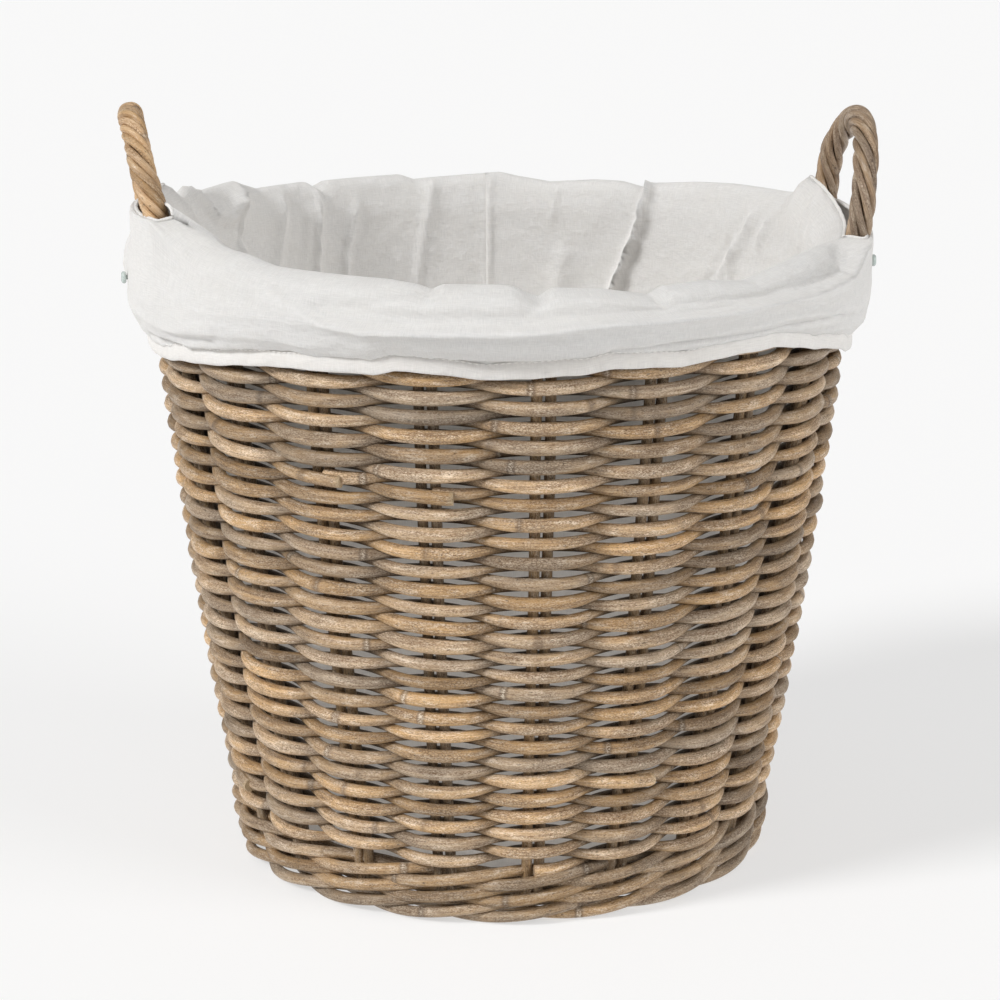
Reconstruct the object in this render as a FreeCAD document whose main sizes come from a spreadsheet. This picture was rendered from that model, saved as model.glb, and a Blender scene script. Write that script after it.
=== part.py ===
# Wicker log basket with a removable cotton liner and two rope handles.
# Millimetres. +Z is up, the origin is on the floor at the middle of the basket, -Y is the front,
# and the handles stand at the two sides, near +X and -X.
import FreeCAD, Part
import os

os.makedirs("parts", exist_ok=True)

DRIVING_SIZES = [
    ("rim_radius", 250.0, "outside of the wall, projected up to the top of the border"),
    ("foot_radius", 188.0, "outside of the wall at the floor"),
    ("wall_bulge", 6.2, "how far the wall bellies out half way up"),
    ("rim_height", 446.0, "floor to the top of the border"),
    ("weaver_dia", 9.0, "rods woven round the wall"),
    ("stake_dia", 7.5, "upright rods"),
    ("stake_gap", 1.5, "between the two rods of one stake"),
    ("stake_count", 19, "stakes round the basket: odd, so that one weaver alternates row by row"),
    ("stake_end_gap", 1.0, "above and below each stake"),
    ("course_count", 6, "courses of randing between the two wales"),
    ("foot_height", 14.0, "foot border, which stands on the floor"),
    ("foot_tuck", 3.0, "how far the foot border draws in at the floor"),
    ("foot_wale_height", 24.0, "wale above the foot border"),
    ("foot_wale_proud", 1.5, "how far that wale stands out of the wall"),
    ("top_wale_height", 18.0, "wale under the rim border"),
    ("top_wale_proud", 3.0, "how far that wale stands out of the wall"),
    ("border_height", 16.0, "rim border, made of the stakes' own ends"),
    ("border_proud", 8.0, "how far the border stands out of the wall"),
    ("base_lift", 6.0, "floor to the underside of the base"),
    ("base_cover", 4.0, "weaving above and below the base sticks"),
    ("base_stick_dia", 8.0, "rods of the base cross"),
    ("base_stick_count", 5, "rods each way in the base cross"),
    ("base_stick_pitch", 10.0, "centre to centre of those rods"),
    ("cross_radius", 26.0, "open middle of the base, where the rods cross"),
    ("binding_radius", 60.0, "rounds that tie the cross before the base is woven"),
    ("handle_inset", 12.0, "plane of the handle inside the rim radius, at the rim"),
    ("handle_rise", 87.0, "rim to the top of the handle's centre line, along its lean"),
    ("handle_lean", 10.0, "degrees that a handle leans out"),
    ("leg_splay", 4.0, "degrees that a handle's legs spread as they rise"),
    ("leg_margin", 1.5, "between a stake and the rope beside it"),
    ("leg_depth", 60.0, "how deep a handle's core is pushed into the wall"),
    ("rope_dia", 17.0, "twisted rope of the handle"),
    ("core_dia", 7.0, "bent rod inside the rope"),
    ("cloth", 2.0, "thickness of the liner's solids"),
    ("bag_gap", 1.5, "between the bag and the wickerwork"),
    ("crest_gap", 0.5, "between the fold of cloth and the border"),
    ("crest_height", 3.5, "thickness of the fold of cloth over the border"),
    ("slot_margin", 1.5, "round each handle, where the fold of cloth is open"),
    ("cuff_margin", 1.5, "between the outermost point of a handle and the hem"),
    ("cuff_drop", 84.0, "top of the fold to the lower edge of the hem"),
    ("hem_height", 14.0, "casing sewn along the lower edge of the cuff"),
    ("hem_cloth", 1.2, "each wall of the casing"),
    ("elastic_thick", 1.2, "elastic in the casing"),
    ("elastic_width", 8.0, "elastic in the casing"),
    ("button_drop", 26.0, "top of the fold to the button's centre"),
    ("button_dia", 8.5, "button's head"),
    ("button_thick", 3.5, "button's head"),
    ("shank_dia", 3.0, "neck between the button and the cloth"),
    ("shank_length", 2.0, "neck between the button and the cloth"),
    ("fit_clearance", 0.3, "radial clearance round everything that passes through weaving"),
    ("overrun", 2.0, "how far a cutter runs past the solid that it cuts"),
]


def outer(height):
    """Outside radius of the wall at a height, as an expression."""
    share = f"(({height}) / sizes.rim_height)"
    slope = f"(sizes.rim_radius - sizes.foot_radius) * {share}"
    belly = f"4 * sizes.wall_bulge * {share} * (1 - {share})"
    return f"(sizes.foot_radius + {slope} + {belly})"


LAYOUT = [
    ("stake_pitch", "360 / sizes.stake_count"),
    ("wall", "2 * sizes.weaver_dia + sizes.stake_dia"),
    ("border_low", "sizes.rim_height - sizes.border_height"),
    ("top_wale_low", "border_low - sizes.top_wale_height"),
    ("randing_low", "sizes.foot_height + sizes.foot_wale_height"),
    ("course_height", "(top_wale_low - randing_low) / sizes.course_count"),
    ("stake_low", "sizes.foot_height + sizes.stake_end_gap"),
    ("stake_top", "border_low - sizes.stake_end_gap"),
    ("stake_low_radius", outer("stake_low") + " - wall / 2"),
    ("stake_top_radius", outer("stake_top") + " - wall / 2"),
    ("stake_run", "stake_top_radius - stake_low_radius"),
    ("stake_chord", "sqrt(stake_run ^ 2 + (stake_top - stake_low) ^ 2)"),
    ("stake_sag", "sizes.wall_bulge * ((stake_top - stake_low) / sizes.rim_height) ^ 2"),
    ("stake_arc", "stake_chord ^ 2 / (8 * stake_sag) + stake_sag / 2"),
    ("stake_lean", "asin(stake_run / stake_chord) / 1deg"),
    ("stake_half_sweep", "asin(stake_chord / (2 * stake_arc)) / 1deg"),
    ("bore_overrun", "sizes.overrun / stake_arc * 180 / pi"),
    ("stake_side", "(sizes.stake_dia + sizes.stake_gap) / 2"),
    ("arc_inset", "stake_arc - stake_sag"),
    ("arc_radius_at", "(stake_low_radius + stake_top_radius) / 2 - arc_inset * cos(stake_lean * 1deg)"),
    ("arc_height_at", "(stake_low + stake_top) / 2 + arc_inset * sin(stake_lean * 1deg)"),
    ("base_top", "sizes.base_lift + 2 * sizes.base_cover + 2 * sizes.base_stick_dia"),
    ("lower_stick_height", "sizes.base_lift + sizes.base_cover + sizes.base_stick_dia / 2"),
    ("upper_stick_height", "lower_stick_height + sizes.base_stick_dia"),
    ("handle_turn", "(round(sizes.stake_count / 4 - 0.5) + 0.5) * stake_pitch"),
    ("beside_stake", "(sizes.rim_radius - wall / 2) * sin(stake_pitch / 2 * 1deg)"),
    ("leg_side", "beside_stake + stake_side + sizes.stake_dia / 2 + sizes.leg_margin + sizes.rope_dia / 2"),
    ("splay_tan", "tan(sizes.leg_splay * 1deg)"),
    ("splay_sin", "sin(sizes.leg_splay * 1deg)"),
    ("splay_cos", "cos(sizes.leg_splay * 1deg)"),
    ("bow_radius", "(leg_side + sizes.handle_rise * splay_tan) / (splay_cos + splay_tan * (1 + splay_sin))"),
    ("bow_centre", "sizes.handle_rise - bow_radius"),
    ("bow_foot_side", "bow_radius * splay_cos"),
    ("bow_foot", "bow_centre - bow_radius * splay_sin"),
    ("bow_sweep", "180 + 2 * sizes.leg_splay"),
    ("tilt_reach", "sizes.rope_dia / 2 * sin((sizes.handle_lean + sizes.leg_splay) * 1deg)"),
    ("rope_tuck", "sizes.border_height - tilt_reach - sizes.fit_clearance"),
    ("handle_reach", "sizes.rim_radius - sizes.handle_inset"),
    ("handle_over", "sizes.handle_rise * sin(sizes.handle_lean * 1deg) + sizes.rope_dia / 2"),
    ("bag_low", "base_top + sizes.crest_gap"),
    ("bag_low_radius", outer("base_top") + " - wall - sizes.bag_gap"),
    ("bag_top_radius", "sizes.rim_radius - wall - sizes.bag_gap"),
    ("crest_low", "sizes.rim_height + sizes.crest_gap"),
    ("crest_top", "crest_low + sizes.crest_height"),
    ("hem_low", "crest_top - sizes.cuff_drop"),
    ("hem_top", "hem_low + sizes.hem_height"),
    ("hem_radius", "handle_reach + handle_over + sizes.cuff_margin"),
    ("casing_radius", "hem_radius + sizes.hem_cloth"),
    ("casing_room", "sizes.elastic_thick + 2 * sizes.fit_clearance"),
    ("hem_outer_radius", "casing_radius + casing_room + sizes.hem_cloth"),
    ("cuff_radius", "(hem_radius + hem_outer_radius - sizes.cloth) / 2"),
    ("elastic_radius", "casing_radius + sizes.fit_clearance"),
    ("slot_low_radius", "handle_reach - sizes.rope_dia / 2 - sizes.slot_margin"),
    ("slot_high_radius", "handle_reach + handle_over + sizes.slot_margin / 2"),
    ("slot_half_width", "bow_radius + sizes.rope_dia / 2 + sizes.slot_margin"),
]

doc = FreeCAD.newDocument("log_basket")
sizes = doc.addObject("Spreadsheet::Sheet", "sizes")
for row, (alias, value, meaning) in enumerate(DRIVING_SIZES, start=1):
    sizes.set(f"A{row}", alias)
    sizes.set(f"B{row}", str(value))
    sizes.set(f"C{row}", meaning)
    sizes.setAlias(f"B{row}", alias)

layout = doc.addObject("Spreadsheet::Sheet", "layout")
for row, (alias, formula) in enumerate(LAYOUT, start=1):
    layout.set(f"A{row}", alias)
    layout.set(f"B{row}", "=" + formula)
    layout.setAlias(f"B{row}", alias)
doc.recompute()

UP = FreeCAD.Vector(0, 0, 1)
DOWN = FreeCAD.Vector(0, 0, -1)
SIDEWAYS = FreeCAD.Vector(1, 0, 0)
BACKWARDS = FreeCAD.Vector(0, 1, 0)
NOWHERE = FreeCAD.Vector(0, 0, 0)
STOOD_UP = FreeCAD.Rotation(SIDEWAYS, 90)
FACING_FRONT = FreeCAD.Rotation(-BACKWARDS, UP, -SIDEWAYS)
ALONG_X = FreeCAD.Rotation(BACKWARDS, 90)
ALONG_Y = FreeCAD.Rotation(-SIDEWAYS, 90)
TOWARDS_FRONT = FreeCAD.Rotation(SIDEWAYS, 90)

nodes = []


def add(kind, name, rotation=None, **bound):
    """A document object whose properties follow expressions; x, y, z and angle are its placement."""
    piece = doc.addObject(kind, name)
    piece.Placement = FreeCAD.Placement(NOWHERE, rotation or FreeCAD.Rotation())
    paths = {axis: f"Placement.Base.{axis}" for axis in "xyz"}
    paths["angle"] = "Placement.Rotation.Angle"
    for field, expression in bound.items():
        piece.setExpression(paths.get(field, field), expression)
    return piece


def node(piece, label):
    """Marks an object as a sub-part with a label of its own."""
    piece.Label = label
    nodes.append(piece)
    return piece


def gathered(name, pieces, rotation=None, **bound):
    whole = add("Part::Compound", name, rotation, **bound)
    whole.Links = pieces
    return whole


def joined(name, pieces):
    whole = add("Part::MultiFuse", name)
    whole.Shapes = pieces
    return whole


def cut(name, blank, tool):
    rest = add("Part::Cut", name)
    rest.Base = blank
    rest.Tool = tool
    return rest


def frustum(name, low, high, low_radius, high_radius):
    return add("Part::Cone", name, z=low, Height=f"{high} - ({low})", Radius1=low_radius, Radius2=high_radius)


def ring(name, low, high, outside, inside):
    """A ring between two heights; outside and inside are each a lower and an upper radius."""
    blank = frustum(name + "_blank", low, high, *outside)
    hollow = frustum(name + "_hollow", low, high, *inside)
    return cut(name + "_ring", blank, hollow)


# Stakes: pairs of rods side by side, each bent to the belly of the wall.
def rod_arc(name, side, diameter, overrun):
    """One upright rod at the front of the basket, a piece of a torus whose centre is far behind the wall."""
    start = f"layout.stake_lean + layout.stake_half_sweep + {overrun}"
    sweep = f"2 * (layout.stake_half_sweep + {overrun})"
    bent = add(
        "Part::Torus",
        name + "_bent",
        FreeCAD.Rotation(DOWN, 1),
        angle=start,
        Radius1="layout.stake_arc",
        Radius2=f"({diameter}) / 2",
        Angle3=sweep,
    )
    return gathered(
        name, [bent], FACING_FRONT, x=side, y="-layout.arc_radius_at", z="layout.arc_height_at"
    )


def stake_pair(name, diameter, overrun):
    left = rod_arc(name + "_left", "-layout.stake_side", diameter, overrun)
    right = rod_arc(name + "_right", "layout.stake_side", diameter, overrun)
    return [left, right]


def turned(name, pieces, step):
    """The pieces turned about the basket's axis by a number of stake pitches, either way."""
    if 2 * step <= sizes.stake_count:
        return gathered(name, pieces, FreeCAD.Rotation(UP, 1), angle=f"{step} * layout.stake_pitch")
    back = f"(sizes.stake_count - {step}) * layout.stake_pitch"
    return gathered(name, pieces, FreeCAD.Rotation(DOWN, 1), angle=back)


stake_rods = stake_pair("stake", "sizes.stake_dia", "0")
bore_rods = stake_pair("stake_bore", "sizes.stake_dia + 2 * sizes.fit_clearance", "layout.bore_overrun")
bores = []
for step in range(int(sizes.stake_count)):
    node(turned(f"stake_at_{step}", stake_rods, step), f"stake_{step + 1:02d}")
    bores.append(turned(f"bore_at_{step}", bore_rods, step))
stake_bores = gathered("stake_bores", bores)


# Handles: a core rod bent to a bow, and the rope twisted round it.
def bow(name, diameter, depth):
    """A bow in its own plane: an arc with a straight leg from each end, down to a depth below the rim."""
    arc = add(
        "Part::Torus",
        name + "_arc",
        FreeCAD.Rotation(DOWN, 1),
        angle="sizes.leg_splay",
        y="layout.bow_centre",
        Radius1="layout.bow_radius",
        Radius2=f"({diameter}) / 2",
        Angle3="layout.bow_sweep",
    )
    length = f"(layout.bow_foot + {depth}) / layout.splay_cos"
    rod = add("Part::Cylinder", name + "_rod", TOWARDS_FRONT, Radius=f"({diameter}) / 2", Height=length)
    legs = []
    for side, sign, axis in (("right", "", DOWN), ("left", "-", UP)):
        leg = gathered(
            f"{name}_{side}_leg",
            [rod],
            FreeCAD.Rotation(axis, 1),
            angle="sizes.leg_splay",
            x=f"{sign}layout.bow_foot_side",
            y="layout.bow_foot",
        )
        legs.append(leg)
    return joined(name, [arc] + legs)


def on_the_rim(name, piece):
    """The piece stood on the rim at the front, leaning out."""
    lean = "90 + sizes.handle_lean"
    leaning = FreeCAD.Rotation(SIDEWAYS, 90)
    return gathered(name, [piece], leaning, angle=lean, y="-layout.handle_reach", z="sizes.rim_height")


def at_side(name, piece, side):
    axis = {"right": UP, "left": DOWN}[side]
    return gathered(name, [piece], FreeCAD.Rotation(axis, 1), angle="layout.handle_turn")


def both_sides(name, piece):
    return gathered(name, [at_side(f"{name}_{side}", piece, side) for side in ("left", "right")])


clear = "2 * sizes.fit_clearance"
core = bow("core", "sizes.core_dia", "sizes.leg_depth")
core_bore = bow("core_bore", f"sizes.core_dia + {clear}", "sizes.leg_depth + sizes.overrun")
rope = bow("rope", "sizes.rope_dia", "layout.rope_tuck")
rope_bore = bow("rope_bore", f"sizes.rope_dia + {clear}", "sizes.border_height + 3 * sizes.overrun")
wrap = cut("wrap", rope, core_bore)
core_at_front = on_the_rim("core_at_front", core)
wrap_at_front = on_the_rim("wrap_at_front", wrap)
for side in ("left", "right"):
    node(at_side(f"{side}_core", core_at_front, side), f"{side}_handle_core")
    node(at_side(f"{side}_wrap", wrap_at_front, side), f"{side}_handle_rope")
leg_bores = both_sides("leg_bores", on_the_rim("core_bore_at_front", core_bore))
rope_bores = both_sides("rope_bores", on_the_rim("rope_bore_at_front", rope_bore))
wall_bores = gathered("wall_bores", [stake_bores, leg_bores])


# Wall: foot border, foot wale, courses of randing, top wale and rim border, each bored for what it holds.
def wall_ring(label, low, high, proud_low, proud_high, tool):
    outside = [f"{outer(low)} + {proud_low}", f"{outer(high)} + {proud_high}"]
    inside = [f"{outer(low)} - layout.wall", f"{outer(high)} - layout.wall"]
    blank = ring(label, low, high, outside, inside)
    return node(cut(label + "_bored", blank, tool) if tool else blank, label)


wall_ring("foot_border", "0", "sizes.foot_height", "(-sizes.foot_tuck)", "0", None)
foot_proud = "sizes.foot_wale_proud"
wall_ring("foot_wale", "sizes.foot_height", "layout.randing_low", foot_proud, foot_proud, stake_bores)
for number in range(int(sizes.course_count)):
    course_low = f"layout.randing_low + {number} * layout.course_height"
    course_high = f"layout.randing_low + {number + 1} * layout.course_height"
    wall_ring(f"randing_course_{number + 1}", course_low, course_high, "0", "0", wall_bores)
top_proud = "sizes.top_wale_proud"
wall_ring("top_wale", "layout.top_wale_low", "layout.border_low", top_proud, top_proud, wall_bores)
border_proud = "sizes.border_proud"
wall_ring("rim_border", "layout.border_low", "sizes.rim_height", border_proud, border_proud, rope_bores)


# Base: a cross of rods in two layers, tied in the middle and woven out to the wall.
def base_radius(height):
    return f"{outer(height)} - layout.wall - sizes.fit_clearance"


def base_rods(name, diameter, height, rotation, offset_axis, start_axis):
    """Parallel rods across the whole base, at one height."""
    rods = []
    for number in range(int(sizes.base_stick_count)):
        offset = f"({number} - (sizes.base_stick_count - 1) / 2) * sizes.base_stick_pitch"
        place = {offset_axis: offset, start_axis: "-sizes.foot_radius", "z": height}
        length = "2 * sizes.foot_radius"
        rods.append(
            add("Part::Cylinder", f"{name}_{number}", rotation, Radius=f"({diameter}) / 2", Height=length, **place)
        )
    return gathered(name, rods)


def base_layer(label, height, rotation, offset_axis, start_axis):
    """The rods of one layer, trimmed to the base, and the bores that they lie in."""
    rods = base_rods(label + "_rods", "sizes.base_stick_dia", height, rotation, offset_axis, start_axis)
    room = f"sizes.base_stick_dia + {clear}"
    holes = base_rods(label + "_holes", room, height, rotation, offset_axis, start_axis)
    trimmed = add("Part::Common", label + "_trimmed")
    trimmed.Base = rods
    trimmed.Tool = frustum(
        label + "_trim", "sizes.base_lift", "layout.base_top", base_radius("sizes.base_lift"), base_radius("layout.base_top")
    )
    node(trimmed, label)
    return holes


lower_holes = base_layer("base_sticks_lower", "layout.lower_stick_height", ALONG_X, "y", "x")
upper_holes = base_layer("base_sticks_upper", "layout.upper_stick_height", ALONG_Y, "x", "y")
stick_holes = gathered("stick_holes", [lower_holes, upper_holes])


def base_ring(label, outside, inside):
    blank = ring(label, "sizes.base_lift", "layout.base_top", outside, inside)
    return node(cut(label + "_bored", blank, stick_holes), label)


base_ring("base_binding", ["sizes.binding_radius"] * 2, ["sizes.cross_radius"] * 2)
base_edge = [base_radius("sizes.base_lift"), base_radius("layout.base_top")]
base_ring("base_weave", base_edge, ["sizes.binding_radius"] * 2)


# Liner: bag, fold over the border with an opening round each handle, cuff, hem with elastic, buttons.
side_low = "layout.bag_low + sizes.cloth"
node(
    frustum("bag_floor", "layout.bag_low", side_low, "layout.bag_low_radius", "layout.bag_low_radius"),
    "liner_bottom",
)
side_out = ["layout.bag_low_radius", "layout.bag_top_radius"]
side_in = [radius + " - sizes.cloth" for radius in side_out]
node(ring("bag_side", side_low, "layout.crest_low", side_out, side_in), "liner_side")

crest = ring(
    "crest",
    "layout.crest_low",
    "layout.crest_top",
    ["layout.cuff_radius + sizes.cloth"] * 2,
    ["layout.bag_top_radius - sizes.cloth"] * 2,
)
slot_box = add(
    "Part::Box",
    "slot_box",
    x="-layout.slot_half_width",
    y="-layout.slot_high_radius",
    z="layout.crest_low - sizes.overrun",
    Length="2 * layout.slot_half_width",
    Width="layout.slot_high_radius - layout.slot_low_radius",
    Height="sizes.crest_height + 2 * sizes.overrun",
)
slot_reach = add("Part::Cylinder", "slot_reach", Radius="layout.hem_radius", Height="layout.crest_top + sizes.overrun")
slot = add("Part::Common", "slot")
slot.Base = slot_box
slot.Tool = slot_reach
node(cut("crest_slotted", crest, both_sides("slots", slot)), "liner_crest")

cuff_out = ["layout.cuff_radius + sizes.cloth"] * 2
node(ring("cuff", "layout.hem_top", "layout.crest_low", cuff_out, ["layout.cuff_radius"] * 2), "liner_cuff")

casing = ring("casing", "layout.hem_low", "layout.hem_top", ["layout.hem_outer_radius"] * 2, ["layout.hem_radius"] * 2)
casing_floor = "layout.hem_top - sizes.elastic_width - 2 * sizes.fit_clearance"
casing_out = ["layout.casing_radius + layout.casing_room"] * 2
casing_groove = ring("casing_groove", casing_floor, "layout.hem_top", casing_out, ["layout.casing_radius"] * 2)
node(cut("casing_grooved", casing, casing_groove), "hem_casing")
elastic_low = f"{casing_floor} + sizes.fit_clearance"
elastic_out = ["layout.elastic_radius + sizes.elastic_thick"] * 2
elastic_in = ["layout.elastic_radius"] * 2
elastic_high = f"{elastic_low} + sizes.elastic_width"
node(ring("elastic", elastic_low, elastic_high, elastic_out, elastic_in), "hem_elastic")


def button_disc(name, diameter, start, length):
    """A short cylinder that points out of the cuff at the front, from a radius outwards."""
    height = "layout.crest_top - sizes.button_drop"
    return add(
        "Part::Cylinder", name, TOWARDS_FRONT, Radius=f"{diameter} / 2", Height=length, y=f"-({start})", z=height
    )


cuff_face = "layout.cuff_radius + sizes.cloth"
shank = button_disc("shank", "sizes.shank_dia", cuff_face, "sizes.shank_length")
head = button_disc("head", "sizes.button_dia", f"{cuff_face} + sizes.shank_length", "sizes.button_thick")
button = joined("button", [shank, head])
for side in ("left", "right"):
    node(at_side(f"{side}_button_turned", button, side), f"{side}_button")

doc.recompute()

for item in doc.Objects:
    if "Invalid" in item.State or "Error" in item.State:
        raise RuntimeError(f"{item.Name} failed: {item.State}")
for piece in nodes:
    if piece.Shape.isNull() or not piece.Shape.isValid() or not piece.Shape.Solids:
        raise RuntimeError(f"{piece.Label} has no valid solid")
for piece in nodes:
    piece.Shape.exportStep(f"parts/{piece.Label}.step")
    print(f"{piece.Label:20s} solids {len(piece.Shape.Solids)} volume {piece.Shape.Volume / 1000:9.2f} cm3")
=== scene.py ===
# %% [markdown]
# # A wicker log basket with a cotton liner
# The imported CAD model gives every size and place. This lesson dresses it the way a basket maker
# builds it: upright stakes, rods woven round them, a foot and a rim of heavier rounds, two twisted
# rope handles and a loose cotton bag folded over the rim. Lengths are in millimetres until the
# last step of each piece, where they become Blender's metres.

# %% Load the frame
import math
import bpy
import numpy as np
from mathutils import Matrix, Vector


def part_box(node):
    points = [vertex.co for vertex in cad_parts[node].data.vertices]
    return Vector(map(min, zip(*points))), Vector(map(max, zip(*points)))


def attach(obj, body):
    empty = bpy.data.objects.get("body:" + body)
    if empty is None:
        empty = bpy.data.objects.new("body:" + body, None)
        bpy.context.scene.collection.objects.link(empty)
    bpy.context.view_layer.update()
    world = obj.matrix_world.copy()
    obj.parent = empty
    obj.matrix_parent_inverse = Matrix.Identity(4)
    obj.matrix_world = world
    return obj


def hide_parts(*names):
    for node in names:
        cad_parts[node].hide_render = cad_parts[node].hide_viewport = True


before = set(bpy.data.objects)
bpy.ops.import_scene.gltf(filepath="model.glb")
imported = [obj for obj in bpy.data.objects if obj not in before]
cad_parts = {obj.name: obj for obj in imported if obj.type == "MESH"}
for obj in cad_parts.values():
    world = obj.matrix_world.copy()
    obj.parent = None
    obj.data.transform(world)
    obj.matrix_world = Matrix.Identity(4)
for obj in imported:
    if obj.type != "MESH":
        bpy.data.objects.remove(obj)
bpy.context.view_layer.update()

# %% [markdown]
# ## Camera and light
# A long lens about 2.3 m away looks down a little on the basket, so that the inside of the far
# wall shows. A broad sun stands in for a big softbox on the left, because its light is equally
# strong all over the floor. Two softer suns, one from the right and a faint one from the front,
# and a pale world fill the shadows.

# %% Camera
scene = bpy.context.scene
eye_degrees = 7.0
eye_turn = math.radians(-eye_degrees)
eye_reach, eye_height = 2.268, 0.848
camera = bpy.data.objects.new("camera", bpy.data.cameras.new("camera"))
scene.collection.objects.link(camera)
camera.location = (eye_reach * math.sin(eye_turn), -eye_reach * math.cos(eye_turn), eye_height)
camera.rotation_euler = (math.radians(90 - 14.75), 0, eye_turn)
camera.data.sensor_width = 36
camera.data.lens = 117.3
camera.data.clip_end = 100
scene.camera = camera
scene.view_settings.view_transform = "Standard"
print("camera at", [round(v, 3) for v in camera.location])

# %% Lights and floor
world = bpy.data.worlds.new("studio")
scene.world = world
world.use_nodes = True
world.node_tree.nodes["Background"].inputs["Color"].default_value = (1.0, 0.99, 0.975, 1)
world.node_tree.nodes["Background"].inputs["Strength"].default_value = 0.30


def sun(name, toward, strength, spread):
    """A distant lamp that shines along the direction toward."""
    lamp = bpy.data.objects.new(name, bpy.data.lights.new(name, "SUN"))
    lamp.data.energy = strength
    lamp.data.angle = math.radians(spread)
    lamp.rotation_euler = Vector(toward).to_track_quat("-Z", "Y").to_euler()
    scene.collection.objects.link(lamp)
    return lamp


sun("key", (0.76, 0.34, -0.60), 2.45, 16)
sun("fill", (-0.74, 0.52, -0.44), 1.25, 36)
sun("front", (0.05, 0.90, -0.44), 0.22, 50)

floor_mesh = bpy.data.meshes.new("floor")
reach = 1000
floor_mesh.from_pydata(
    [(-reach, -reach, 0), (reach, -reach, 0), (reach, reach, 0), (-reach, reach, 0)], [], [(0, 1, 2, 3)]
)
floor = bpy.data.objects.new("floor", floor_mesh)
scene.collection.objects.link(floor)
paper = bpy.data.materials.new("paper")
paper.use_nodes = True
paper_shader = paper.node_tree.nodes["Principled BSDF"]
paper_shader.inputs["Base Color"].default_value = (0.40, 0.40, 0.40, 1)
paper_shader.inputs["Roughness"].default_value = 0.9
paper_shader.inputs["Specular IOR Level"].default_value = 0.0
paper_shader.inputs["Emission Color"].default_value = (1, 1, 1, 1)
paper_shader.inputs["Emission Strength"].default_value = 0.56
floor_mesh.materials.append(paper)
print("three suns, a pale world and a paper floor")

# %% [markdown]
# ## Rods as tubes
# Every rod, weaver or strand is a tube with an oval section that follows a line. A curve object
# with a bevel could do that too, but a mesh built ring by ring can carry what the finish needs at
# each point: how far along the rod it is, and whether it is a node, a cut end or a grey stretch.

# %% The rod builder
MM = 0.001


def unit(rows):
    return rows / np.maximum(np.linalg.norm(rows, axis=1, keepdims=True), 1e-9)


def length_along(line):
    """How far each point of a line lies from its start."""
    return np.concatenate([[0], np.cumsum(np.linalg.norm(np.diff(line, axis=0), axis=1))])


def rod(line, wide, tall, up, look, sides=12, start=0.0):
    """A tube along line, with half-widths wide and tall; look is (grey, tone with painted shade, node, cut)
    per point.
    """
    line = np.asarray(line, float)
    count = len(line)
    ahead = unit(np.gradient(line, axis=0))
    up = np.broadcast_to(np.asarray(up, float), line.shape)
    side = unit(np.cross(ahead, up))
    top = np.cross(side, ahead)
    turn = np.linspace(0, 2 * np.pi, sides, endpoint=False)
    wide = np.broadcast_to(wide, (count,))[:, None, None]
    tall = np.broadcast_to(tall, (count,))[:, None, None]
    ring = wide * np.cos(turn)[None, :, None] * side[:, None]
    ring = ring + tall * np.sin(turn)[None, :, None] * top[:, None]
    points = (line[:, None] + ring).reshape(-1, 3)
    along = length_along(line) + start
    girth = (wide + tall)[:, :, 0] / 2
    grain = np.stack(
        [np.repeat(along[:, None], sides, 1), girth * np.cos(turn), girth * np.sin(turn)], axis=2
    ).reshape(-1, 3)
    looks = np.repeat(np.broadcast_to(look, (count, 4)), sides, axis=0)
    i, j = np.meshgrid(np.arange(count - 1), np.arange(sides), indexing="ij")
    a, b = i * sides + j, i * sides + (j + 1) % sides
    walls = np.stack([a, b, b + sides, a + sides], axis=2).reshape(-1, 4)[:, ::-1]
    ends = [list(range(sides)), list(range((count - 1) * sides, count * sides))[::-1]]
    return {"points": points, "grain": grain, "looks": looks, "walls": walls, "ends": ends}


def piece(name, rods, finish, body, nodes):
    """Joins rods into one object, gives it its finish and hangs it on its body."""
    faces, smooth, shift = [], [], 0
    for r in rods:
        faces += (r["walls"] + shift).tolist() + [[v + shift for v in end] for end in r["ends"]]
        smooth += [True] * len(r["walls"]) + [False] * len(r["ends"])
        shift += len(r["points"])
    mesh = bpy.data.meshes.new(name)
    mesh.from_pydata((np.concatenate([r["points"] for r in rods]) * MM).tolist(), [], faces)
    mesh.polygons.foreach_set("use_smooth", smooth)
    grain = mesh.attributes.new("grain", "FLOAT_VECTOR", "POINT")
    grain.data.foreach_set("vector", (np.concatenate([r["grain"] for r in rods]) * MM).ravel())
    looks = mesh.attributes.new("look", "FLOAT_COLOR", "POINT")
    looks.data.foreach_set("color", np.concatenate([r["looks"] for r in rods]).ravel())
    mesh.materials.append(finish)
    obj = bpy.data.objects.new(name, mesh)
    scene.collection.objects.link(obj)
    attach(obj, body)
    if nodes:
        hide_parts(*nodes)
    print(f"{name}: {len(rods)} rods, {len(mesh.polygons)} faces")
    return obj


# %% [markdown]
# ## The cane finish
# Rattan rods dried and aged to a mix of honey and silver grey have long fibres, darker streaks,
# dull and shiny patches, ringed nodes and pale cut ends. The noise runs along each rod's own
# grain coordinate, so that the streaks follow every bend. A photograph of cane could be wrapped
# on instead, but noise never repeats and stays sharp at any distance.

# %% Helpers for finishes


def put(tree, kind, settings=None, **links):
    """Adds a node: settings sets its properties and sockets, links joins its inputs."""
    made = tree.nodes.new("ShaderNode" + kind)
    for key, value in (settings or {}).items():
        if isinstance(key, str) and hasattr(made, key):
            setattr(made, key, value)
        else:
            made.inputs[key].default_value = value
    for key, source in links.items():
        name = key.replace("_", " ")
        tree.links.new(source, made.inputs[int(name[1:]) if name[0] == "i" and name[1:].isdigit() else name])
    return made


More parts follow.
